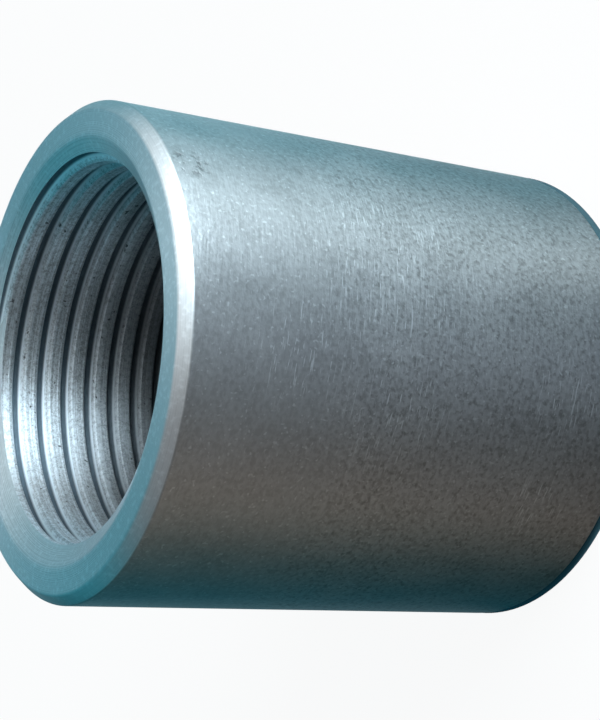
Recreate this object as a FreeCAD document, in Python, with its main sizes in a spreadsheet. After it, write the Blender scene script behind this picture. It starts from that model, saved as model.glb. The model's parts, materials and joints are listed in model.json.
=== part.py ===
import FreeCAD, Part
import os
import Sketcher

# A plain pipe socket: a short thick sleeve, threaded right through, that joins two pipes end to end.
# It stands on one end with its axis on +Z and the centre of its lower end face at the origin.
# The fine thread itself isn't drawn here: the bore is a plain wall at the crests of the thread.

# Driving sizes, in millimetres.
SIZES = {
    "socket_length": "43.0",        # from one end face to the other
    "bore_diameter": "31.0",        # across the crests of the thread
    "wall_thickness": "4.8",        # from the crests of the thread to the outside
    "mouth_flare": "1.9",           # how far the countersunk mouth widens beyond the bore, on the radius
    "mouth_depth": "1.1",           # how deep the countersink reaches along the axis
    "bevel_length": "0.9",          # outer bevel at each end, along the axis
    "bevel_depth": "0.8",           # outer bevel at each end, on the radius
    "bevel_blend_radius": "0.4",    # rounding where the bevel meets the end face and the outside
}

NODE = "socket_body"
RADIUS_TOLERANCE = 0.001

# The two ends of a sketch line, as the sketch numbers them.
START = 1
END = 2
# The sketch's own origin, and its horizontal axis.
ORIGIN = (-1, 1)
HORIZONTAL_AXIS = -1


def make_sheet(doc):
    """Hold the driving sizes in a sheet, one named cell each."""
    sheet = doc.addObject("Spreadsheet::Sheet", "sizes")
    for row, (alias, value) in enumerate(SIZES.items(), start=1):
        sheet.set(f"A{row}", alias)
        sheet.set(f"B{row}", value)
        sheet.setAlias(f"B{row}", alias)
    doc.recompute()
    return sheet


def origin_plane(body, role):
    """Find one of the body's own origin planes by its role."""
    return next(feature for feature in body.Origin.OriginFeatures if feature.Role == role)


def section_corners(sheet):
    """Corners of the wall's section as radius and height, from the lower mouth round to the lower bore."""
    bore_radius = sheet.bore_diameter / 2
    outer_radius = bore_radius + sheet.wall_thickness
    mouth_radius = bore_radius + sheet.mouth_flare
    face_radius = outer_radius - sheet.bevel_depth
    length = sheet.socket_length
    return [
        (mouth_radius, 0),
        (face_radius, 0),
        (outer_radius, sheet.bevel_length),
        (outer_radius, length - sheet.bevel_length),
        (face_radius, length),
        (mouth_radius, length),
        (bore_radius, length - sheet.mouth_depth),
        (bore_radius, sheet.mouth_depth),
    ]


def add_outline(sketch, corners):
    """Join the corners with straight lines into one closed outline."""
    points = [FreeCAD.Vector(radius, height, 0) for radius, height in corners]
    ends = points[1:] + points[:1]
    lines = [sketch.addGeometry(Part.LineSegment(start, end)) for start, end in zip(points, ends)]
    for line, following in zip(lines, lines[1:] + lines[:1]):
        sketch.addConstraint(Sketcher.Constraint("Coincident", line, END, following, START))
    return lines


def bind_distance(sketch, direction, start, end, name, expression):
    """Hold the distance between two points of the sketch to a size in the sheet."""
    point_on_line = {START: "StartPoint", END: "EndPoint"}
    places = []
    for line, point in (start, end):
        at_origin = (line, point) == ORIGIN
        places.append(FreeCAD.Vector() if at_origin else getattr(sketch.Geometry[line], point_on_line[point]))
    gap = places[1] - places[0]
    value = gap.x if direction == "DistanceX" else gap.y
    index = sketch.addConstraint(Sketcher.Constraint(direction, *start, *end, value))
    sketch.renameConstraint(index, name)
    sketch.setExpression(f"Constraints.{name}", expression)


def draw_wall_section(body, sheet):
    """Half section through the wall, on the upright plane through the axis."""
    sketch = body.newObject("Sketcher::SketchObject", "wall_section")
    sketch.AttachmentSupport = (origin_plane(body, "XZ_Plane"), [""])
    sketch.MapMode = "FlatFace"
    (lower_face, lower_bevel, outer_wall, upper_bevel,
     upper_face, upper_mouth, bore_wall, lower_mouth) = add_outline(sketch, section_corners(sheet))

    for face in (lower_face, upper_face):
        sketch.addConstraint(Sketcher.Constraint("Horizontal", face))
    for wall in (outer_wall, bore_wall):
        sketch.addConstraint(Sketcher.Constraint("Vertical", wall))
    sketch.addConstraint(Sketcher.Constraint("PointOnObject", lower_face, START, HORIZONTAL_AXIS))

    bind_distance(sketch, "DistanceY", (lower_face, END), (upper_face, START),
                  "length", "sizes.socket_length")
    bind_distance(sketch, "DistanceX", ORIGIN, (bore_wall, START),
                  "bore_radius", "sizes.bore_diameter / 2")
    bind_distance(sketch, "DistanceX", (bore_wall, START), (outer_wall, START),
                  "wall", "sizes.wall_thickness")

    bind_distance(sketch, "DistanceX", (lower_bevel, START), (lower_bevel, END),
                  "lower_bevel_depth", "sizes.bevel_depth")
    bind_distance(sketch, "DistanceY", (lower_bevel, START), (lower_bevel, END),
                  "lower_bevel_length", "sizes.bevel_length")
    bind_distance(sketch, "DistanceX", (upper_bevel, END), (upper_bevel, START),
                  "upper_bevel_depth", "sizes.bevel_depth")
    bind_distance(sketch, "DistanceY", (upper_bevel, START), (upper_bevel, END),
                  "upper_bevel_length", "sizes.bevel_length")

    bind_distance(sketch, "DistanceX", (lower_mouth, START), (lower_mouth, END),
                  "lower_mouth_flare", "sizes.mouth_flare")
    bind_distance(sketch, "DistanceY", (lower_mouth, END), (lower_mouth, START),
                  "lower_mouth_depth", "sizes.mouth_depth")
    bind_distance(sketch, "DistanceX", (upper_mouth, END), (upper_mouth, START),
                  "upper_mouth_flare", "sizes.mouth_flare")
    bind_distance(sketch, "DistanceY", (upper_mouth, END), (upper_mouth, START),
                  "upper_mouth_depth", "sizes.mouth_depth")
    return sketch


def bevel_edges(feature, sheet):
    """Names of the four round edges where a bevel meets an end face or the outside."""
    outer_radius = sheet.bore_diameter / 2 + sheet.wall_thickness
    rim_radii = (outer_radius, outer_radius - sheet.bevel_depth)
    names = []
    for number, edge in enumerate(feature.Shape.Edges, start=1):
        if not isinstance(edge.Curve, Part.Circle):
            continue
        if any(abs(edge.Curve.Radius - radius) < RADIUS_TOLERANCE for radius in rim_radii):
            names.append(f"Edge{number}")
    return names


def make_socket(doc, sheet):
    """Turn the wall's section round the axis, then round off the edges of the outer bevels."""
    body = doc.addObject("PartDesign::Body", NODE)
    body.Label = NODE
    section = draw_wall_section(body, sheet)

    turned_wall = body.newObject("PartDesign::Revolution", "turned_wall")
    turned_wall.Profile = section
    turned_wall.ReferenceAxis = (section, ["V_Axis"])
    turned_wall.Angle = 360
    doc.recompute()

    blended_bevels = body.newObject("PartDesign::Fillet", "blended_bevels")
    blended_bevels.Base = (turned_wall, bevel_edges(turned_wall, sheet))
    blended_bevels.setExpression("Radius", "sizes.bevel_blend_radius")
    doc.recompute()
    return body


def stop_if_failed(doc, bodies):
    """Stop before anything is written if a feature failed or a body has no sound solid."""
    for item in doc.Objects:
        if {"Invalid", "Error"} & set(item.State):
            raise RuntimeError(f"{item.Name} failed: {item.State}")
    for body in bodies:
        if body.Shape.isNull() or not body.Shape.isValid():
            raise RuntimeError(f"{body.Label} has no valid shape")


def main():
    doc = FreeCAD.newDocument("pipe_socket")
    sheet = make_sheet(doc)
    bodies = [make_socket(doc, sheet)]
    stop_if_failed(doc, bodies)
    os.makedirs("parts", exist_ok=True)
    for body in bodies:
        body.Shape.exportStep(f"parts/{body.Label}.step")
        box = body.Shape.optimalBoundingBox()
        print(f"{body.Label}: {box.XLength:.2f} x {box.YLength:.2f} x {box.ZLength:.2f} mm,"
              f" {body.Shape.Volume:.1f} cubic mm")


main()
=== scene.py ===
import json
import math
import bpy
from mathutils import Matrix, Vector


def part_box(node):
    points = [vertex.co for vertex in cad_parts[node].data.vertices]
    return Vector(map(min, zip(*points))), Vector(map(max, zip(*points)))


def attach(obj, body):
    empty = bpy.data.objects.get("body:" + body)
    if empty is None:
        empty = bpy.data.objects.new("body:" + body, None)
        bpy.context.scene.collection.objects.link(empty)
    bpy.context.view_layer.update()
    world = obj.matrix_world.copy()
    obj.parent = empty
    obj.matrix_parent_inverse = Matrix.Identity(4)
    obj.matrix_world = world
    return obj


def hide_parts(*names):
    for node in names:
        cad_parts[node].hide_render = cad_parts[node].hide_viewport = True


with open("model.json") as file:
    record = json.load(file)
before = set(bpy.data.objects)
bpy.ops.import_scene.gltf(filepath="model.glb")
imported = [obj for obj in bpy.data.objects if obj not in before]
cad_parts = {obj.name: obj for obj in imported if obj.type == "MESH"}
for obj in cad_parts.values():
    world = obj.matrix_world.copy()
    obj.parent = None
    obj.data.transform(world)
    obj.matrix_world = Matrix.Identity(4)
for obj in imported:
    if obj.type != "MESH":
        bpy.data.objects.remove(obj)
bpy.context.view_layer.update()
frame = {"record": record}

# A pipe socket that stands on its end, with its thread cut as real geometry.
# Lengths are in metres, in the part's own frame: +Z along the axis, the lower end face at height 0.

MM = 0.001

# Sizes that come from the frame
NODE = "socket_body"
NODE_LOW, NODE_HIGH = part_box(NODE)
THREAD_MOUNT = next(mount for mount in frame["record"]["mounts"] if mount["name"] == "upper_thread")
LENGTH = NODE_HIGH.z - NODE_LOW.z
OUTER_RADIUS = (NODE_HIGH.x - NODE_LOW.x) / 2
CREST_RADIUS = THREAD_MOUNT["dims"]["r_mm"] * MM
MOUTH_DEPTH = (LENGTH - THREAD_MOUNT["dims"]["length_mm"] * MM) / 2

# Turned ends, as in the part's source, with a rounded lip at each mouth
MOUTH_FLARE = 1.9 * MM
MOUTH_RADIUS = CREST_RADIUS + MOUTH_FLARE
MOUTH_LIP_RADIUS = 1.0 * MM
BEVEL_LENGTH = 0.9 * MM
BEVEL_DEPTH = 0.8 * MM
BEVEL_BLEND_RADIUS = 0.4 * MM

# Pipe thread: 11 turns to the inch, flanks at 27.5 degrees, round roots, wide flat crests
THREAD_PITCH = 2.309 * MM
FLANK_ANGLE = math.radians(27.5)
THREAD_DEPTH = 0.9 * MM
ROOT_RADIUS = 0.2 * MM
CREST_EDGE_RADIUS = 0.09 * MM
THREAD_START = 0.42 * MM

# Turns of the thread, with spare ones below and above the socket that its mouths cut off
SPARE_TURNS_BELOW = 2
SPARE_TURNS_ABOVE = 1
TURNS = math.ceil(LENGTH / THREAD_PITCH) + SPARE_TURNS_BELOW + SPARE_TURNS_ABOVE

# Fineness of the mesh
SEGMENTS = 160
ROOT_STEPS = 4
FLANK_STEPS = 4
CREST_EDGE_STEPS = 2
LAND_STEPS = 2
BLEND_STEPS = 5
WALL_STEPS = 8
FACE_STEPS = 3
EDGE_TOLERANCE = 0.01 * MM
SHARP_EDGE_ANGLE = math.radians(28)

# Places in the mesh's list of materials
MATERIAL_OUTSIDE, MATERIAL_BEVEL, MATERIAL_FACE, MATERIAL_MOUTH, MATERIAL_THREAD = range(5)

# Camera: about 31 degrees above the floor and turned on its side, so that the socket lies across the frame
CAMERA_PLACE = Vector((0.0, -126.3, 98.17)) * MM
CAMERA_AIM = Vector((1.24, 0.0, 20.73)) * MM
CAMERA_ROLL = math.radians(-83.9)
SENSOR_MILLIMETRES = 36.0
IMAGE_PIXELS = 720
FOCAL_LENGTH_PIXELS = 1703.0
CLIP_START = 1 * MM


def arc_corner(before, corner, after, radius, steps):
    """Points of the arc that rounds off one corner of a flat outline."""
    towards_before = (before - corner).normalized()
    towards_after = (after - corner).normalized()
    half_angle = towards_before.angle(towards_after) / 2
    cut = radius / math.tan(half_angle)
    middle = (towards_before + towards_after).normalized()
    centre = corner + middle * (radius / math.sin(half_angle))
    start = corner + towards_before * cut - centre
    end = corner + towards_after * cut - centre
    turn = start.angle(end)
    points = []
    for step in range(steps + 1):
        share = step / steps
        weight_start = math.sin((1 - share) * turn) / math.sin(turn)
        weight_end = math.sin(share * turn) / math.sin(turn)
        points.append(centre + start * weight_start + end * weight_end)
    return points


def spread(start, end, steps):
    """Evenly spaced points from start to just before end."""
    return [start.lerp(end, step / steps) for step in range(steps)]


def outer_outline():
    """Radius and height from the upper mouth's rounded lip, over the outside, to the lower mouth's lip."""
    mouth_foot = Vector((CREST_RADIUS, LENGTH - MOUTH_DEPTH))
    mouth_edge = Vector((MOUTH_RADIUS, LENGTH))
    face_edge = Vector((OUTER_RADIUS - BEVEL_DEPTH, LENGTH))
    wall_edge = Vector((OUTER_RADIUS, LENGTH - BEVEL_LENGTH))
    middle = Vector((OUTER_RADIUS, LENGTH / 2))
    lip_arc = arc_corner(mouth_foot, mouth_edge, face_edge, MOUTH_LIP_RADIUS, BLEND_STEPS)
    face_arc = arc_corner(mouth_edge, face_edge, wall_edge, BEVEL_BLEND_RADIUS, BLEND_STEPS)
    wall_arc = arc_corner(face_edge, wall_edge, middle, BEVEL_BLEND_RADIUS, BLEND_STEPS)
    upper = lip_arc[:-1] + spread(lip_arc[-1], face_arc[0], FACE_STEPS) + face_arc + wall_arc[:-1]
    upper += spread(wall_arc[-1], middle, WALL_STEPS)
    lower = [Vector((point.x, LENGTH - point.y)) for point in reversed(upper)]
    return upper + [middle] + lower


def groove_outline():
    """Height and depth of one turn of the groove, from the middle of its root to the next root."""
    root_centre = Vector((0.0, THREAD_DEPTH - ROOT_RADIUS))
    flank_foot = root_centre + ROOT_RADIUS * Vector((math.cos(FLANK_ANGLE), math.sin(FLANK_ANGLE)))
    flank_head = Vector((flank_foot.x + flank_foot.y * math.tan(FLANK_ANGLE), 0.0))
    half_pitch = Vector((THREAD_PITCH / 2, 0.0))
    arc_turn = math.pi / 2 - FLANK_ANGLE
    root = []
    for step in range(ROOT_STEPS):
        angle = arc_turn * step / ROOT_STEPS
        root.append(root_centre + ROOT_RADIUS * Vector((math.sin(angle), math.cos(angle))))
    edge = arc_corner(flank_foot, flank_head, half_pitch, CREST_EDGE_RADIUS, CREST_EDGE_STEPS)
    half = root + spread(flank_foot, edge[0], FLANK_STEPS)
    half += edge[:-1] + spread(edge[-1], half_pitch, LAND_STEPS)
    mirrored = [Vector((THREAD_PITCH - point.x, point.y)) for point in reversed(half[1:])]
    return half + [half_pitch] + mirrored


def mouth_radius_at(height):
    """Radius of the nearer countersink at a height; its cone runs on, inside the bore, below its foot."""
    depth = min(height, LENGTH - height)
    return MOUTH_RADIUS - MOUTH_FLARE * depth / MOUTH_DEPTH


def meet_mouths(points):
    """Widen a column of thread points to the countersinks, with a point on each edge between the two."""
    beyond = [point.x - mouth_radius_at(point.y) for point in points]
    met = [Vector((max(point.x, mouth_radius_at(point.y)), point.y)) for point in points]
    for lower in range(len(points) - 1):
        upper = lower + 1
        if beyond[lower] * beyond[upper] < 0:
            share = beyond[lower] / (beyond[lower] - beyond[upper])
            nearer = lower if share < 0.5 else upper
            met[nearer] = points[lower].lerp(points[upper], share)
    return met


def turn_angle(segment):
    """Angle round the axis, from +X, at which a segment starts."""
    return 2 * math.pi * segment / SEGMENTS


class SocketMesh:
    """Vertices and faces of the whole socket, as one closed skin."""

    def __init__(self):
        self.vertices = []
        self.faces = []
        self.materials = []

    def add_vertex(self, radius, angle, height):
        """Add a vertex; returns its number."""
        self.vertices.append((radius * math.cos(angle), radius * math.sin(angle), height))
        return len(self.vertices) - 1

    def add_ring(self, radius, height):
        """Add a ring of vertices round the axis; returns their numbers."""
        return [self.add_vertex(radius, turn_angle(segment), height) for segment in range(SEGMENTS)]

    def add_face(self, corners, material):
        """Add a face without its repeated corners, unless that leaves no area."""
        distinct = [corner for place, corner in enumerate(corners) if corner != corners[place - 1]]
        if len(set(distinct)) == len(distinct) and len(distinct) >= 3:
            self.faces.append(distinct)
            self.materials.append(material)


def outer_material(inmost_radius):
    """Material of a band of the outer skin, by its inmost radius."""
    if inmost_radius > OUTER_RADIUS - EDGE_TOLERANCE:
        return MATERIAL_OUTSIDE
    if inmost_radius > OUTER_RADIUS - BEVEL_DEPTH:
        return MATERIAL_BEVEL
    return MATERIAL_FACE


def add_outside(skin):
    """Turn the outer outline round the axis; returns its first and last rings, on the mouths' lips."""
    outline = outer_outline()
    rings = [skin.add_ring(point.x, point.y) for point in outline]
    for step in range(len(rings) - 1):
        upper, lower = rings[step], rings[step + 1]
        material = outer_material(min(outline[step].x, outline[step + 1].x))
        for segment in range(SEGMENTS):
            following = (segment + 1) % SEGMENTS
            skin.add_face([upper[segment], lower[segment], lower[following], upper[following]], material)
    return rings[0], rings[-1]


def thread_points(groove, angle):
    """Radius and height of the whole thread at one angle, from below the socket to above it."""
    points = []
    for turn in range(TURNS):
        rise = (turn - SPARE_TURNS_BELOW + angle / (2 * math.pi)) * THREAD_PITCH + THREAD_START
        points += [Vector((CREST_RADIUS + point.y, rise + point.x)) for point in groove]
    return points


def add_thread_column(skin, groove, segment, upper_lip, lower_lip):
    """Vertices of the thread where a segment starts; what lies beyond a mouth's lip ends on that lip."""
    angle = turn_angle(segment)
    lower_end = skin.vertices[lower_lip[segment]][2]
    upper_end = skin.vertices[upper_lip[segment]][2]
    column = []
    for point in meet_mouths(thread_points(groove, angle)):
        if point.y <= lower_end:
            column.append(lower_lip[segment])
        elif point.y >= upper_end:
            column.append(upper_lip[segment])
        else:
            column.append(skin.add_vertex(point.x, angle, point.y))
    return column


def add_bore_face(skin, corners, on_mouth):
    """One face of the bore, split in two where a mouth's edge runs across it from corner to corner."""
    off_mouth = [place for place, corner in enumerate(corners) if not on_mouth[corner]]
    if len(off_mouth) == 1:
        first = off_mouth[0]
        cut, beyond, opposite, before = corners[first:] + corners[:first]
        skin.add_face([cut, beyond, before], MATERIAL_THREAD)
        skin.add_face([beyond, opposite, before], MATERIAL_MOUTH)
    else:
        skin.add_face(corners, MATERIAL_THREAD if off_mouth else MATERIAL_MOUTH)


def add_thread(skin, upper_lip, lower_lip):
    """Right-hand thread through the bore: rows follow the helix and end on the two mouths' lips."""
    groove = groove_outline()
    rows_per_turn = len(groove)
    columns = []
    for segment in range(SEGMENTS):
        columns.append(add_thread_column(skin, groove, segment, upper_lip, lower_lip))
    # After a whole turn the first column comes round again, from one turn further up its rows.
    columns.append(columns[0][rows_per_turn:] + [upper_lip[0]] * rows_per_turn)
    on_mouth = [math.hypot(x, y) <= mouth_radius_at(z) + EDGE_TOLERANCE for x, y, z in skin.vertices]
    for column, beside in zip(columns, columns[1:]):
        for row in range(len(column) - 1):
            corners = [column[row], column[row + 1], beside[row + 1], beside[row]]
            add_bore_face(skin, corners, on_mouth)


def build_socket(materials):
    """Make the socket's mesh object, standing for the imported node."""
    skin = SocketMesh()
    upper_lip, lower_lip = add_outside(skin)
    add_thread(skin, upper_lip, lower_lip)
    mesh = bpy.data.meshes.new("pipe_socket")
    mesh.from_pydata(skin.vertices, [], skin.faces)
    for material in materials:
        mesh.materials.append(material)
    mesh.polygons.foreach_set("material_index", skin.materials)
    mesh.polygons.foreach_set("use_smooth", [True] * len(mesh.polygons))
    mesh.validate()
    mesh.set_sharp_from_angle(angle=SHARP_EDGE_ANGLE)
    socket = bpy.data.objects.new("pipe_socket", mesh)
    bpy.context.collection.objects.link(socket)
    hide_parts(NODE)
    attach(socket, "root")


def add_node(tree, kind, inputs=None, **settings):
    """Add a node, set its properties, then set or link its inputs by name or number."""
    node = tree.nodes.new(kind)
    for name, value in settings.items():
        setattr(node, name, value)
    for name, value in (inputs or {}).items():
        if isinstance(value, bpy.types.NodeSocket):
            tree.links.new(value, node.inputs[name])
        else:
            node.inputs[name].default_value = value
    return node


def calculate(tree, operation, first, second=0.0, third=0.0):
    """One arithmetic step; returns its result."""
    inputs = {0: first, 1: second, 2: third}
    return add_node(tree, "ShaderNodeMath", inputs, operation=operation).outputs[0]


def calculate_vector(tree, operation, first, second=(0.0, 0.0, 0.0)):
    """One step of vector arithmetic; returns its result, which is a vector."""
    inputs = {0: first, 1: second}
    return add_node(tree, "ShaderNodeVectorMath", inputs, operation=operation).outputs["Vector"]


def measure_vector(tree, operation, first, second=(0.0, 0.0, 0.0)):
    """One step of vector arithmetic; returns its result, which is a number."""
    inputs = {0: first, 1: second}
    return add_node(tree, "ShaderNodeVectorMath", inputs, operation=operation).outputs["Value"]


def split(tree, vector):
    """The parts of a vector, by the names X, Y and Z."""
    return add_node(tree, "ShaderNodeSeparateXYZ", {"Vector": vector}).outputs


def ramp(tree, value, low, high):
    """Ease from 0 at low to 1 at high."""
    inputs = {"Value": value, "From Min": low, "From Max": high}
    return add_node(tree, "ShaderNodeMapRange", inputs, interpolation_type="SMOOTHSTEP").outputs["Result"]


def map_range(tree, value, old_range, new_range):
    """Carry a value over from one range to another, in proportion."""
    inputs = {
        "Value": value,
        "From Min": old_range[0],
        "From Max": old_range[1],
        "To Min": new_range[0],
        "To Max": new_range[1],
    }
    return add_node(tree, "ShaderNodeMapRange", inputs).outputs["Result"]


def mix_colour(tree, factor, first, second):
    """Blend of two colours, by the numbers that the mix node gives its colour inputs and output."""
    return add_node(tree, "ShaderNodeMix", {0: factor, 6: first, 7: second}, data_type="RGBA").outputs[2]


def grey(level, tint=(1.0, 1.0, 1.0)):
    """Opaque grey of a level, with a tint."""
    return (level * tint[0], level * tint[1], level * tint[2], 1.0)


class Pattern:
    """Random pattern.

    scale: features per metre
    detail, roughness: layers of finer features, and how strong they are
    low, high: values between which the pattern eases from 0 to 1
    squash: how many times finer the pattern is along the axis than round it
    """

    def __init__(self, scale, detail=2.0, roughness=0.5, low=0.0, high=1.0, squash=1.0):
        self.scale = scale
        self.detail = detail
        self.roughness = roughness
        self.low = low
        self.high = high
        self.squash = squash


def noise(tree, place, pattern):
    """Plain value of a random pattern at a place."""
    if pattern.squash != 1.0:
        inputs = {"Vector": place, "Scale": (1.0, 1.0, pattern.squash)}
        place = add_node(tree, "ShaderNodeMapping", inputs).outputs["Vector"]
    inputs = {
        "Vector": place,
        "Scale": pattern.scale,
        "Detail": pattern.detail,
        "Roughness": pattern.roughness,
    }
    return add_node(tree, "ShaderNodeTexNoise", inputs).outputs["Fac"]


def ease(tree, value, pattern):
    """Ease the plain value of a pattern between the pattern's two levels."""
    return ramp(tree, value, pattern.low, pattern.high)


def eased_noise(tree, place, pattern):
    """Value of a random pattern at a place, eased between its two levels."""
    return ease(tree, noise(tree, place, pattern), pattern)


def radius_from_axis(tree, place):
    """Distance of a point from the socket's axis."""
    flat = calculate_vector(tree, "MULTIPLY", place, (1.0, 1.0, 0.0))
    return measure_vector(tree, "LENGTH", flat)


def new_metal(name):
    """A bare metal material, its node tree, its shader and the object's own coordinates."""
    material = bpy.data.materials.new(name)
    material.use_nodes = True
    tree = material.node_tree
    shader = tree.nodes["Principled BSDF"]
    shader.inputs["Metallic"].default_value = 1.0
    coordinates = add_node(tree, "ShaderNodeTexCoord").outputs["Object"]
    return material, tree, shader, coordinates


def finish_metal(tree, shader, colour, roughness, relief, relief_height):
    """Join colour, roughness and fine relief to the shader."""
    bump = add_node(tree, "ShaderNodeBump", {"Height": relief, "Distance": relief_height, "Strength": 1.0})
    tree.links.new(colour, shader.inputs["Base Color"])
    tree.links.new(roughness, shader.inputs["Roughness"])
    tree.links.new(bump.outputs["Normal"], shader.inputs["Normal"])


# The shader counts its gloss's turn from 0 to 1.
QUARTER_TURN = 0.25


def streak_along_tool_marks(tree, shader, amount):
    """Stretch the gloss across the fine marks that a turning tool leaves round the axis."""
    tangent = add_node(tree, "ShaderNodeTangent", direction_type="RADIAL", axis="Z").outputs["Tangent"]
    tree.links.new(tangent, shader.inputs["Tangent"])
    shader.inputs["Anisotropic"].default_value = amount
    shader.inputs["Anisotropic Rotation"].default_value = QUARTER_TURN


ZINC_TINT = (0.96, 1.0, 1.02)
THREAD_TINT = (0.92, 1.0, 1.05)
ROOT_TINT = (0.75, 1.0, 1.18)


def wall_place(degrees, height):
    """A place on the outside, by its angle from +X and its height."""
    angle = math.radians(degrees)
    return Vector((OUTER_RADIUS * math.cos(angle), OUTER_RADIUS * math.sin(angle), height))


# Marks on the outside: centre and radius of each marked place
SCRATCHED_PLACES = (
    (wall_place(-66, 24 * MM), 12 * MM),
    (wall_place(-85, 33 * MM), 6 * MM),
    (wall_place(-96, 24 * MM), 7 * MM),
    (wall_place(-90, 7 * MM), 6 * MM),
    (wall_place(-115, 8 * MM), 5 * MM),
)
GOUGED_PLACE = (wall_place(-43, 40.3 * MM), 2.4 * MM)
PITTED_PLACE = (wall_place(-39, 30 * MM), 1.6 * MM)
# Share of a marked place's radius within which its marks are at their strongest
SPOT_CORE = 0.3
# Tilt of the scratches and lines, in radians: they lean a little from the way round the axis
MARKS_TILT = (0.065, -0.11, 0.0)
# Heights between which the wall gets a coarser grain and a darker grain; the darker grain towards the foot
# is partly painted shade
RUB_AND_SHADE_FROM = 34 * MM
RUB_AND_SHADE_TO = 24 * MM

# Patterns of the outside
GRAIN = Pattern(1700, detail=3.0, roughness=0.65, low=0.45, high=0.75, squash=1.5)
FINE_GRAIN = Pattern(2600, detail=1.0, low=0.32, high=0.68)
DARK_GRAIN = Pattern(2300, roughness=0.6, low=0.50, high=0.68)
BLOTCHES = Pattern(240, low=0.30, high=0.70)
WALL_LINES = Pattern(260, squash=14.0)
SCRATCHES = Pattern(640, detail=1.0, low=0.60, high=0.69, squash=10.0)
SCRATCH_BREAKS = Pattern(2100, detail=1.0, low=0.32, high=0.52)
SPECKS = Pattern(3600, detail=0.0, low=0.67, high=0.83)
PITS = Pattern(1300, detail=3.0, roughness=0.6, low=0.47, high=0.66)

# Strength of the outside's patterns
UNRUBBED_GRAIN = 0.55
DARK_GRAIN_AND_SHADE_STRENGTH = 0.72
STRAY_SCRATCHES = 0.12
SPECK_STRENGTH = 0.65
PITTED_STRENGTH = 0.5

# Colours of the outside
COAT_DARK = grey(0.52, ZINC_TINT)
COAT_LIGHT = grey(0.57, ZINC_TINT)
GRAIN_COLOUR = grey(0.70, ZINC_TINT)
FINE_GRAIN_COLOUR = grey(0.72, ZINC_TINT)
DARK_GRAIN_COLOUR = grey(0.34, ZINC_TINT)
BARE_COLOUR = grey(0.95, ZINC_TINT)
PIT_COLOUR = grey(0.30, ZINC_TINT)

# Roughness and relief of the outside
COAT_SMOOTHEST = 0.30
BLOTCH_ROUGHNESS = 0.12
COAT_RELIEF_HEIGHT = 0.035 * MM
LINE_RELIEF = 0.7
FINE_GRAIN_RELIEF = 0.12
PIT_RELIEF = -0.7


def spot(tree, place, centre, radius):
    """1 near a place on the wall, easing to 0 at a radius from it."""
    distance = measure_vector(tree, "DISTANCE", place, centre)
    return ramp(tree, distance, radius, SPOT_CORE * radius)


def wall_scratches(tree, place, along_marks):
    """Short broken scratches, strong in the scratched places and faint elsewhere."""
    share = STRAY_SCRATCHES
    for centre, radius in SCRATCHED_PLACES:
        share = calculate(tree, "MAXIMUM", share, spot(tree, place, centre, radius))
    scratches = calculate(tree, "MULTIPLY", eased_noise(tree, along_marks, SCRATCHES), share)
    return calculate(tree, "MULTIPLY", scratches, eased_noise(tree, place, SCRATCH_BREAKS))


def wall_pits(tree, place):
    """Dark pits in the gouged place, and weaker ones in the pitted place."""
    pitted = calculate(tree, "MULTIPLY", spot(tree, place, *PITTED_PLACE), PITTED_STRENGTH)
    worn = calculate(tree, "MAXIMUM", spot(tree, place, *GOUGED_PLACE), pitted)
    return calculate(tree, "MULTIPLY", eased_noise(tree, place, PITS), worn)


def outside_material():
    """Dull zinc coat: fine grain, faint lines round the axis, short scratches, specks and a few pits, with
    a darker grain towards the foot that is partly painted shade.
    """
    material, tree, shader, place = new_metal("zinc_outside")
    tilt = {"Vector": place, "Rotation": MARKS_TILT}
    along_marks = add_node(tree, "ShaderNodeMapping", tilt).outputs["Vector"]
    rubbed_and_shaded = ramp(tree, split(tree, place)["Z"], RUB_AND_SHADE_FROM, RUB_AND_SHADE_TO)
    grain_share = map_range(tree, rubbed_and_shaded, (0.0, 1.0), (UNRUBBED_GRAIN, 1.0))
    grain = noise(tree, along_marks, GRAIN)
    lines = noise(tree, along_marks, WALL_LINES)
    blotches = noise(tree, place, BLOTCHES)
    fine_grain = calculate(tree, "MULTIPLY", eased_noise(tree, place, FINE_GRAIN), grain_share)
    # Darker grain towards the foot: part grain, part painted shade
    dark_share = calculate(tree, "MULTIPLY", rubbed_and_shaded, DARK_GRAIN_AND_SHADE_STRENGTH)
    dark_grain = calculate(tree, "MULTIPLY", eased_noise(tree, place, DARK_GRAIN), dark_share)
    specks = calculate(tree, "MULTIPLY", eased_noise(tree, place, SPECKS), SPECK_STRENGTH)
    bare = calculate(tree, "MAXIMUM", wall_scratches(tree, place, along_marks), specks)
    pits = wall_pits(tree, place)

    tone = mix_colour(tree, ease(tree, blotches, BLOTCHES), COAT_DARK, COAT_LIGHT)
    tone = mix_colour(tree, fine_grain, tone, FINE_GRAIN_COLOUR)
    tone = mix_colour(tree, dark_grain, tone, DARK_GRAIN_COLOUR)
    tone = mix_colour(tree, ease(tree, grain, GRAIN), tone, GRAIN_COLOUR)
    tone = mix_colour(tree, bare, tone, BARE_COLOUR)
    tone = mix_colour(tree, pits, tone, PIT_COLOUR)

    roughness = calculate(tree, "MULTIPLY_ADD", blotches, BLOTCH_ROUGHNESS, COAT_SMOOTHEST)
    relief = calculate(tree, "MULTIPLY_ADD", lines, LINE_RELIEF, grain)
    relief = calculate(tree, "MULTIPLY", relief, grain_share)
    relief = calculate(tree, "MULTIPLY_ADD", fine_grain, FINE_GRAIN_RELIEF, relief)
    relief = calculate(tree, "MULTIPLY_ADD", pits, PIT_RELIEF, relief)
    finish_metal(tree, shader, tone, roughness, relief, COAT_RELIEF_HEIGHT)
    return material


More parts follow.
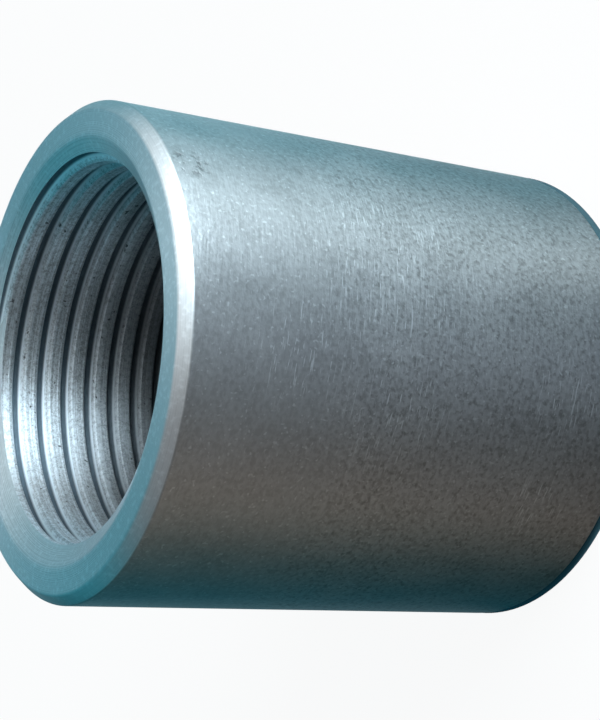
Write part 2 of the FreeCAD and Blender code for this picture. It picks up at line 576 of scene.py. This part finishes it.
# Turned ends: tool rings and grain
RINGS = Pattern(16000, detail=3.0, low=0.30, high=0.70)
TURNED_GRAIN = Pattern(2600, low=0.45, high=0.80)
RING_DARK = grey(0.48, ZINC_TINT)
RING_LIGHT = grey(0.66, ZINC_TINT)
TURNED_GRAIN_COLOUR = grey(0.70, ZINC_TINT)
TURNED_GRAIN_ROUGHNESS = 0.10
TURNED_GRAIN_RELIEF = 0.4
TURNED_RELIEF_HEIGHT = 0.007 * MM
FULL_RINGS = 1.0
FAINT_RINGS = 0.35
FACE_SMOOTHEST = 0.37
EDGE_SMOOTHEST = 0.28
FACE_STREAK = 0.66


def turned_material(name, smoothest, ring_share):
    """Turned surface at an end: fine rings left by the cutting tool, and grain."""
    material, tree, shader, place = new_metal(name)
    inputs = {"W": radius_from_axis(tree, place), "Scale": RINGS.scale, "Detail": RINGS.detail}
    rings = add_node(tree, "ShaderNodeTexNoise", inputs, noise_dimensions="1D").outputs["Fac"]
    ring_range = (0.5 - ring_share / 2, 0.5 + ring_share / 2)
    rings = map_range(tree, ease(tree, rings, RINGS), (0.0, 1.0), ring_range)
    grain = noise(tree, place, TURNED_GRAIN)
    tone = mix_colour(tree, rings, RING_DARK, RING_LIGHT)
    tone = mix_colour(tree, ease(tree, grain, TURNED_GRAIN), tone, TURNED_GRAIN_COLOUR)
    roughness = calculate(tree, "MULTIPLY_ADD", grain, TURNED_GRAIN_ROUGHNESS, smoothest)
    relief = calculate(tree, "MULTIPLY_ADD", grain, TURNED_GRAIN_RELIEF, rings)
    finish_metal(tree, shader, tone, roughness, relief, TURNED_RELIEF_HEIGHT)
    return material


def face_material():
    """End face, whose rings stretch the gloss from the mouth to the bevel."""
    material = turned_material("turned_face", FACE_SMOOTHEST, FULL_RINGS)
    tree = material.node_tree
    streak_along_tool_marks(tree, tree.nodes["Principled BSDF"], FACE_STREAK)
    return material


# Patterns of the thread; the scale of its lines counts in the helix's own coordinates
THREAD_LINES = Pattern(2.2, roughness=0.6, low=0.38, high=0.62)
MOTTLE = Pattern(2400, roughness=0.6, low=0.35, high=0.70)
SPECKLE = Pattern(6500, detail=1.0, low=0.45, high=0.62)
TEARS = Pattern(1700, low=0.66, high=0.74)
# How fast the thread's lines change along the axis, per metre
LINE_DRIFT = 60.0

# Depths below the crests at which each look of the groove starts, and at which it is full
# A painted highlight lightens the flanks, which are also a little rougher
FLANK_DEPTHS = (0.34 * MM, 0.46 * MM)
# Painted shade in the roots: the thread is darker the deeper it lies below the crests
ROOT_SHADE_DEPTHS = (0.50 * MM, 0.74 * MM)
TEAR_DEPTHS = (0.40 * MM, 0.20 * MM)
# Distances from a mouth at which painted shade starts to darken the thread, deep in the bore, and at which
# it is darkest
DEEP_SHADE_DISTANCES = (4 * MM, 18 * MM)

# Colours of the thread, and the strength of those that don't cover it
LINE_DARK = grey(0.54, THREAD_TINT)
LINE_LIGHT = grey(0.95, THREAD_TINT)
MOTTLE_COLOUR = grey(0.36, THREAD_TINT)
MOTTLE_STRENGTH = 0.7
SPECKLE_COLOUR = grey(0.95, THREAD_TINT)
SPECKLE_STRENGTH = 0.5
# Colour of the painted highlight on the flanks
FLANK_HIGHLIGHT_COLOUR = grey(0.98, THREAD_TINT)
# Colour of the painted shade in the roots
ROOT_SHADE_COLOUR = grey(0.20, ROOT_TINT)
TEAR_COLOUR = grey(0.12, ZINC_TINT)
# Colour and strength of the painted shade deep in the bore
DEEP_SHADE_COLOUR = grey(0.07, ZINC_TINT)
DEEP_SHADE_STRENGTH = 0.88

# Gloss and relief of the thread
THREAD_METALLIC = 0.92
THREAD_STREAK = 0.9
THREAD_SMOOTHEST = 0.42
MOTTLE_ROUGHNESS = 0.12
FLANK_ROUGHNESS = 0.12
MOTTLE_RELIEF = 0.4
THREAD_RELIEF_HEIGHT = 0.02 * MM


def helix_place(tree, place):
    """Coordinates that change across the thread and hardly along it."""
    parts = split(tree, place)
    angle = calculate(tree, "ARCTAN2", parts["Y"], parts["X"])
    climb = calculate(tree, "MULTIPLY", parts["Z"], 2 * math.pi / THREAD_PITCH)
    phase = calculate(tree, "SUBTRACT", climb, angle)
    inputs = {
        "X": calculate(tree, "COSINE", phase),
        "Y": calculate(tree, "SINE", phase),
        "Z": calculate(tree, "MULTIPLY", parts["Z"], LINE_DRIFT),
    }
    return add_node(tree, "ShaderNodeCombineXYZ", inputs).outputs["Vector"]


def distance_from_mouth(tree, place):
    """Distance of a point in the bore from the nearer end of the socket."""
    from_middle = calculate(tree, "SUBTRACT", split(tree, place)["Z"], LENGTH / 2)
    return calculate(tree, "SUBTRACT", LENGTH / 2, calculate(tree, "ABSOLUTE", from_middle))


def thread_material():
    """Cut thread: lines along it, speckled crests and tears, with a painted highlight on the flanks, and
    painted shade in the roots and deep in the middle of the bore.
    """
    material, tree, shader, place = new_metal("cut_thread")
    shader.inputs["Metallic"].default_value = THREAD_METALLIC
    streak_along_tool_marks(tree, shader, THREAD_STREAK)
    lines = eased_noise(tree, helix_place(tree, place), THREAD_LINES)
    mottle = eased_noise(tree, place, MOTTLE)
    mottle_share = calculate(tree, "MULTIPLY", mottle, MOTTLE_STRENGTH)
    speckle_share = calculate(tree, "MULTIPLY", eased_noise(tree, place, SPECKLE), SPECKLE_STRENGTH)
    depth = calculate(tree, "SUBTRACT", radius_from_axis(tree, place), CREST_RADIUS)
    on_flank = ramp(tree, depth, *FLANK_DEPTHS)
    root_shade = ramp(tree, depth, *ROOT_SHADE_DEPTHS)
    near_crest = ramp(tree, depth, *TEAR_DEPTHS)
    tears = calculate(tree, "MULTIPLY", eased_noise(tree, place, TEARS), near_crest)
    deep_shade = ramp(tree, distance_from_mouth(tree, place), *DEEP_SHADE_DISTANCES)
    deep_shade_share = calculate(tree, "MULTIPLY", deep_shade, DEEP_SHADE_STRENGTH)

    tone = mix_colour(tree, lines, LINE_DARK, LINE_LIGHT)
    tone = mix_colour(tree, mottle_share, tone, MOTTLE_COLOUR)
    tone = mix_colour(tree, speckle_share, tone, SPECKLE_COLOUR)
    # Painted highlight on the flanks
    tone = mix_colour(tree, on_flank, tone, FLANK_HIGHLIGHT_COLOUR)
    # Painted shade darkens the roots
    tone = mix_colour(tree, root_shade, tone, ROOT_SHADE_COLOUR)
    tone = mix_colour(tree, tears, tone, TEAR_COLOUR)
    # Painted shade darkens the thread deep in the bore
    tone = mix_colour(tree, deep_shade_share, tone, DEEP_SHADE_COLOUR)

    roughness = calculate(tree, "MULTIPLY_ADD", mottle, MOTTLE_ROUGHNESS, THREAD_SMOOTHEST)
    roughness = calculate(tree, "MULTIPLY_ADD", on_flank, FLANK_ROUGHNESS, roughness)
    relief = calculate(tree, "MULTIPLY_ADD", mottle, MOTTLE_RELIEF, lines)
    relief = calculate(tree, "SUBTRACT", relief, tears)
    finish_metal(tree, shader, tone, roughness, relief, THREAD_RELIEF_HEIGHT)
    return material


# Floor, and the cards that lie just above it: a dark one under the socket, which is a painted contact
# shadow, and a pale one under its bore
FLOOR_RADIUS = 3.0
FLOOR_GREY = 0.9
FLOOR_WHITE_SHARE = 0.93
CONTACT_SHADOW_LIFT = 0.05 * MM
# Colour of the dark card under the socket, a painted contact shadow
CONTACT_SHADOW_COLOUR = (0.09, 0.17, 0.20, 1.0)
BORE_CARD_LIFT = 2 * CONTACT_SHADOW_LIFT
BORE_CARD_COLOUR = grey(0.7)


def new_stage_object(name, vertices, faces, material):
    """An object of the studio, which isn't part of the socket."""
    mesh = bpy.data.meshes.new(name)
    mesh.from_pydata(vertices, [], faces)
    mesh.materials.append(material)
    stage_object = bpy.data.objects.new(name, mesh)
    bpy.context.collection.objects.link(stage_object)
    return stage_object


def circle(radius, height):
    """Points round the axis."""
    angles = [turn_angle(segment) for segment in range(SEGMENTS)]
    return [(radius * math.cos(angle), radius * math.sin(angle), height) for angle in angles]


def new_stage_material(name):
    """An empty material for the studio, its node tree and its output."""
    material = bpy.data.materials.new(name)
    material.use_nodes = True
    tree = material.node_tree
    tree.nodes.clear()
    return material, tree, add_node(tree, "ShaderNodeOutputMaterial")


def build_floor():
    """Pale floor: nearly white to the camera and in reflections, with a faint shadow of the socket."""
    material, tree, output = new_stage_material("pale_floor")
    rays = add_node(tree, "ShaderNodeLightPath")
    seen = calculate(tree, "MAXIMUM", rays.outputs["Is Camera Ray"], rays.outputs["Is Glossy Ray"])
    seen = calculate(tree, "MAXIMUM", seen, rays.outputs["Is Transmission Ray"])
    matt = add_node(tree, "ShaderNodeBsdfDiffuse", {"Color": grey(FLOOR_GREY)})
    white = add_node(tree, "ShaderNodeEmission", {"Color": grey(1.0), "Strength": 1.0})
    share = calculate(tree, "MULTIPLY", seen, FLOOR_WHITE_SHARE)
    surface = add_node(tree, "ShaderNodeMixShader", {0: share, 1: matt.outputs[0], 2: white.outputs[0]})
    tree.links.new(surface.outputs[0], output.inputs["Surface"])
    new_stage_object("floor", circle(FLOOR_RADIUS, 0.0), [range(SEGMENTS)], material)


def build_card(name, radius, lift, colour):
    """Round matt card that lies just above the floor."""
    material, tree, output = new_stage_material(name)
    matt = add_node(tree, "ShaderNodeBsdfDiffuse", {"Color": colour})
    tree.links.new(matt.outputs[0], output.inputs["Surface"])
    new_stage_object(name, circle(radius, lift), [range(SEGMENTS)], material)


# Colours of the light tent's floor cloth, by the direction that the wall mirrors, in degrees from the front
FLOOR_CLOTH = (
    (-180, (0.22, 0.34, 0.39)),
    (-140, (0.00, 0.08, 0.11)),
    (-95, (0.035, 0.07, 0.07)),
    (-62, (0.215, 0.18, 0.15)),
    (-22, (0.125, 0.125, 0.125)),
    (20, (0.24, 0.28, 0.32)),
    (48, (0.30, 0.375, 0.42)),
    (76, (0.84, 1.01, 1.07)),
    (105, (0.39, 0.59, 0.66)),
    (140, (0.11, 0.41, 0.51)),
    (180, (0.22, 0.34, 0.39)),
)
CLOTH_LIFT = 0.3 * MM
# The cloth's share of its colour at the foot of the socket, and the radius from which it has it all
FOOT_SHADE = 0.50
OPEN_RADIUS = 95 * MM

# Dome of the light tent
TENT_RADIUS = 1.5
TENT_CENTRE = Vector((0.0, 0.0, 30.0)) * MM
DOME_STEPS = 24
DOME_FRONT = (0.32, 0.32, 0.33, 1.0)
DOME_FRONT_LOW = (0.13, 0.13, 0.13, 1.0)
DOME_BACK = (0.20, 0.50, 0.62, 1.0)
DOME_BACK_KEY_SIDE = (0.26, 0.48, 0.57, 1.0)
DOME_DARK_SIDE = (0.03, 0.28, 0.36, 1.0)

# Reach of the dome's colours, by the X, Y or Z of a direction of length 1
DARK_SIDE_X = (-0.33, -0.08)
KEY_SIDE_X = (0.10, 0.35)
BACK_Y = (-0.40, 0.60)
FRONT_Z = (0.35, 0.80)
DOME_Z = (-0.05, 0.30)

# Key light on the dome, from the side that faces up in the picture, with the cosines of its edge and core
KEY_DIRECTION = Vector((0.71, -0.24, 0.66)).normalized()
KEY_COSINES = (0.47, 1.0)
KEY_GLOW = (1.35, 1.46, 1.51, 1.0)

# Soft box on the dome beside the key light, which shines into the bore
BOX_DIRECTION = Vector((0.81, -0.50, 0.30)).normalized()
BOX_COSINES = (0.855, 0.955)
BOX_GLOW = (6.6, 7.9, 8.7, 1.0)

# Lamp for the matt surfaces
LAMP_DIRECTION = Vector((0.79, -0.455, 0.42)).normalized()
LAMP_DISTANCE = 0.7
LAMP_WIDTH = 0.5
LAMP_HEIGHT = 0.25
LAMP_POWER = 7.0
LAMP_COLOUR = (0.86, 0.96, 1.0)

# Faint light that matt surfaces get from all round
WORLD_KEY_SIDE = (0.25, 0.28, 0.30, 1.0)
WORLD_DARK_SIDE = (0.03, 0.28, 0.38, 1.0)
WORLD_X = (-0.4, 0.3)


def floor_cloth_colour(tree, place):
    """Bands of colour that fan out from the foot of the socket and darken towards it."""
    parts = split(tree, place)
    towards_front = calculate(tree, "MULTIPLY", parts["Y"], -1.0)
    azimuth = calculate(tree, "ARCTAN2", parts["X"], towards_front)
    radius = radius_from_axis(tree, place)
    # Near the foot the wall mirrors a point at half the angle that it mirrors far away.
    nearness = calculate(tree, "DIVIDE", OUTER_RADIUS, radius)
    spread_out = calculate(tree, "DIVIDE", 2.0, calculate(tree, "SUBTRACT", 2.0, nearness))
    turn = calculate(tree, "MULTIPLY", azimuth, spread_out)
    turn_share = map_range(tree, turn, (-math.pi, math.pi), (0.0, 1.0))
    bands = add_node(tree, "ShaderNodeValToRGB", {"Fac": turn_share})
    stops = bands.color_ramp.elements
    while len(stops) < len(FLOOR_CLOTH):
        stops.new(0.5)
    for stop, (degrees, colour) in zip(stops, FLOOR_CLOTH):
        stop.position = (degrees + 180) / 360
        stop.color = (*colour, 1.0)
    shade = map_range(tree, radius, (OUTER_RADIUS, OPEN_RADIUS), (FOOT_SHADE, 1.0))
    return calculate_vector(tree, "MULTIPLY", bands.outputs["Color"], shade)


def dome_colour(tree, direction):
    """Grey in front, darker lower down, and teal at the back, by the direction from the tent's centre."""
    parts = split(tree, direction)
    back = mix_colour(tree, ramp(tree, parts["X"], *DARK_SIDE_X), DOME_DARK_SIDE, DOME_BACK)
    back = mix_colour(tree, ramp(tree, parts["X"], *KEY_SIDE_X), back, DOME_BACK_KEY_SIDE)
    front = mix_colour(tree, ramp(tree, parts["Z"], *FRONT_Z), DOME_FRONT_LOW, DOME_FRONT)
    return mix_colour(tree, ramp(tree, parts["Y"], *BACK_Y), front, back)


def tent_material():
    """Cloth of the light tent: the floor cloth, the dome, and two glowing patches on the key side."""
    material, tree, output = new_stage_material("tent_cloth")
    place = add_node(tree, "ShaderNodeTexCoord").outputs["Object"]
    from_centre = calculate_vector(tree, "SUBTRACT", place, TENT_CENTRE)
    direction = calculate_vector(tree, "NORMALIZE", from_centre)
    lifted = ramp(tree, split(tree, direction)["Z"], *DOME_Z)
    cloth = mix_colour(tree, lifted, floor_cloth_colour(tree, place), dome_colour(tree, direction))
    for light, cosines, light_glow in (
        (KEY_DIRECTION, KEY_COSINES, KEY_GLOW),
        (BOX_DIRECTION, BOX_COSINES, BOX_GLOW),
    ):
        facing = measure_vector(tree, "DOT_PRODUCT", direction, light)
        cloth = mix_colour(tree, ramp(tree, facing, *cosines), cloth, light_glow)
    glow = add_node(tree, "ShaderNodeEmission", {"Color": cloth, "Strength": 1.0})
    tree.links.new(glow.outputs[0], output.inputs["Surface"])
    material.cycles.emission_sampling = "NONE"
    return material


def build_tent():
    """A light tent round the socket, from a floor cloth at its foot up, that only reflections show."""
    outline = [(OUTER_RADIUS, CONTACT_SHADOW_LIFT), (OPEN_RADIUS, CLOTH_LIFT)]
    for step in range(DOME_STEPS):
        angle = math.pi / 2 * step / DOME_STEPS
        outline.append((TENT_RADIUS * math.cos(angle), CLOTH_LIFT + TENT_RADIUS * math.sin(angle)))
    vertices = [point for radius, height in outline for point in circle(radius, height)]
    faces = []
    for lower in range(0, len(vertices) - SEGMENTS, SEGMENTS):
        upper = lower + SEGMENTS
        for segment in range(SEGMENTS):
            following = (segment + 1) % SEGMENTS
            faces.append((lower + segment, lower + following, upper + following, upper + segment))
    faces.append(range(len(vertices) - SEGMENTS, len(vertices)))
    tent = new_stage_object("light_tent", vertices, faces, tent_material())
    tent.visible_camera = False
    tent.visible_diffuse = False
    tent.visible_shadow = False
    tent.visible_transmission = False


def build_key_lamp():
    """Soft strip lamp on the key side, for the light that falls on the floor and the cards."""
    data = bpy.data.lights.new("key_lamp", "AREA")
    data.shape = "RECTANGLE"
    data.size = LAMP_WIDTH
    data.size_y = LAMP_HEIGHT
    data.energy = LAMP_POWER
    data.color = LAMP_COLOUR
    lamp = bpy.data.objects.new("key_lamp", data)
    bpy.context.collection.objects.link(lamp)
    lamp.location = TENT_CENTRE + LAMP_DIRECTION * LAMP_DISTANCE
    lamp.rotation_euler = LAMP_DIRECTION.to_track_quat("Z", "Y").to_euler()
    lamp.visible_camera = False
    lamp.visible_glossy = False


def build_world():
    """Faint light for matt surfaces, teal on the side away from the key lamp."""
    world = bpy.data.worlds.new("studio")
    world.use_nodes = True
    tree = world.node_tree
    background = tree.nodes["Background"]
    direction = add_node(tree, "ShaderNodeTexCoord").outputs["Generated"]
    across = split(tree, direction)["X"]
    colour = mix_colour(tree, ramp(tree, across, *WORLD_X), WORLD_DARK_SIDE, WORLD_KEY_SIDE)
    tree.links.new(colour, background.inputs["Color"])
    bpy.context.scene.world = world


def build_camera():
    """Camera at the photo's viewing angle."""
    data = bpy.data.cameras.new("camera")
    data.sensor_width = SENSOR_MILLIMETRES
    data.lens = FOCAL_LENGTH_PIXELS / IMAGE_PIXELS * SENSOR_MILLIMETRES
    data.clip_start = CLIP_START
    camera = bpy.data.objects.new("camera", data)
    bpy.context.collection.objects.link(camera)
    level = (CAMERA_AIM - CAMERA_PLACE).to_track_quat("-Z", "Y").to_matrix().to_4x4()
    camera.matrix_world = Matrix.Translation(CAMERA_PLACE) @ level @ Matrix.Rotation(CAMERA_ROLL, 4, "Z")
    bpy.context.scene.camera = camera


build_socket([
    outside_material(),
    turned_material("turned_bevel", EDGE_SMOOTHEST, FAINT_RINGS),
    face_material(),
    turned_material("turned_mouth", EDGE_SMOOTHEST, FULL_RINGS),
    thread_material(),
])
build_floor()
build_tent()
# Dark card under the socket: a painted contact shadow
build_card("contact_shadow_card", OUTER_RADIUS, CONTACT_SHADOW_LIFT, CONTACT_SHADOW_COLOUR)
build_card("bore_card", MOUTH_RADIUS, BORE_CARD_LIFT, BORE_CARD_COLOUR)
build_key_lamp()
build_world()
build_camera()
bpy.context.scene.view_settings.view_transform = "Standard"
